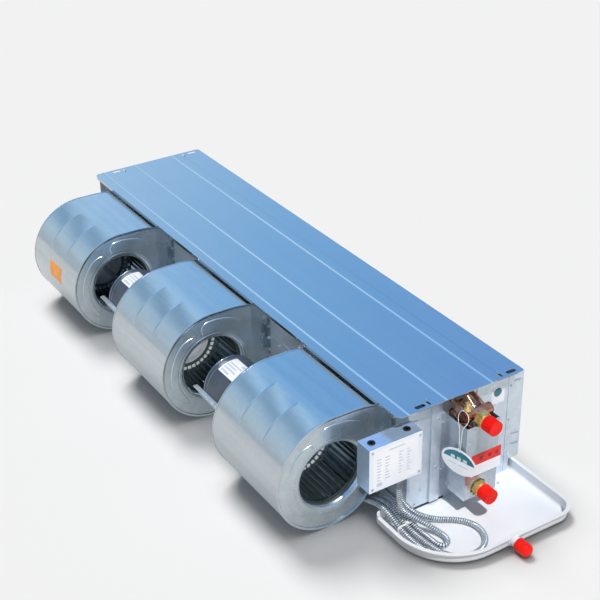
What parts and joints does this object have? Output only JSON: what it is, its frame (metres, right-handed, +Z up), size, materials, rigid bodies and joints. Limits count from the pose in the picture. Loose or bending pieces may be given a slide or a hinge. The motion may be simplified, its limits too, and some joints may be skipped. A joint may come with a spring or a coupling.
{
  "type": "fan coil unit",
  "caption": "Slim concealed ceiling fan coil unit with scroll blowers, finned water coil behind a duct collar, capped brass unions, junction box and long drain pan.",
  "frame": {"origin": "under the middle of the unit's box, on the surface that it stands on", "axes": "+X to the piping end with the unions and the drain, -Y the blower side, +Y the duct outlet, +Z up"},
  "size_m": [1.482, 0.5278, 0.249],
  "materials": {
    "galvanised_panel": "galvanised sheet with a bluish sheen",
    "galvanised_steel": "galvanised sheet",
    "hub_aluminium": "cast",
    "bright_steel": "ground",
    "rotor_steel": "laminated",
    "motor_paint": "dark grey paint",
    "coil_aluminium": "thin fins",
    "copper_brass": "copper tube",
    "brass": "machined brass",
    "red_plastic": "moulded",
    "white_paint": "white powder coat",
    "white_nylon": "moulded",
    "grey_conduit": "corrugated",
    "black_rubber": "moulded",
    "grey_plastic": "moulded"
  },
  "bodies": {
    "casing": {"air_vent": "brass", "box_bracket": "galvanised_steel", "box_grommets": "black_rubber", "cable_tie": "white_nylon", "capacitors": "grey_plastic", "coil_cover": "galvanised_steel", "coil_fins": "coil_aluminium", "conduit_big_loop": "grey_conduit", "conduit_glands": "grey_plastic", "conduit_lead": "grey_conduit", "conduit_small_loop": "grey_conduit", "drain_pan": "white_paint", "end_plate_far": "galvanised_steel", "end_plate_piping": "galvanised_steel", "end_posts": "galvanised_steel", "fan_deck": "galvanised_steel", "header_return": "copper_brass", "header_supply": "copper_brass", "junction_box": "galvanised_steel", "junction_box_lid": "white_paint", "lead_ferrule": "white_nylon", "motor_bearings": "bright_steel", "motor_bracket_1": "galvanised_steel", "motor_bracket_2": "galvanised_steel", "motor_shell_1": "motor_paint", "motor_shell_2": "motor_paint", "motor_stators": "rotor_steel", "outlet_collar": "galvanised_steel", "return_bends_far": "copper_brass", "return_bends_piping": "copper_brass", "scroll_wrap_1": "galvanised_steel", "scroll_wrap_2": "galvanised_steel", "scroll_wrap_3": "galvanised_steel", "side_plate_1_far": "galvanised_steel", "side_plate_1_near": "galvanised_steel", "side_plate_2_far": "galvanised_steel", "side_plate_2_near": "galvanised_steel", "side_plate_3_far": "galvanised_steel", "side_plate_3_near": "galvanised_steel", "terminal_block": "white_nylon", "top_panel": "galvanised_panel", "tube_sheet_far": "galvanised_steel", "tube_sheet_piping": "galvanised_steel", "union_lower": "brass", "union_upper": "brass"},
    "blower_rotor_1": {"motor_shaft_1": "bright_steel", "motor_rotor_1": "rotor_steel", "wheel_hub_1": "hub_aluminium", "wheel_hub_2": "hub_aluminium", "fan_wheel_1": "galvanised_steel", "fan_wheel_2": "galvanised_steel"},
    "blower_rotor_2": {"motor_shaft_2": "bright_steel", "motor_rotor_2": "rotor_steel", "wheel_hub_3": "hub_aluminium", "fan_wheel_3": "galvanised_steel"},
    "upper_pipe_cap": {"pipe_cap_upper": "red_plastic"},
    "lower_pipe_cap": {"pipe_cap_lower": "red_plastic"},
    "drain_cap": {"drain_cap": "red_plastic"},
    "vent_screw": {"air_vent_screw": "brass"}
  },
  "joints": [
    {"name": "blowers_1_2_spin", "type": "hinge", "parent": "casing", "child": "blower_rotor_1", "pos_m": [-0.31596, -0.14266, 0.11453], "axis": [1, 0, 0], "continuous": true},
    {"name": "blower_3_spin", "type": "hinge", "parent": "casing", "child": "blower_rotor_2", "pos_m": [0.13098, -0.14266, 0.11453], "axis": [1, 0, 0], "continuous": true},
    {"name": "upper_cap_pull", "type": "slide", "parent": "casing", "child": "upper_pipe_cap", "axis": [1, 0, 0], "range_m": [0, 0.04]},
    {"name": "lower_cap_pull", "type": "slide", "parent": "casing", "child": "lower_pipe_cap", "axis": [1, 0, 0], "range_m": [0, 0.04]},
    {"name": "drain_cap_pull", "type": "slide", "parent": "casing", "child": "drain_cap", "axis": [1, 0, 0], "range_m": [0, 0.03]},
    {"name": "vent_screw_turn", "type": "hinge", "parent": "casing", "child": "vent_screw", "pos_m": [0.56, 0.08994, 0.236], "axis": [1, 0, 0], "range_deg": [0, 360]}
  ]
}
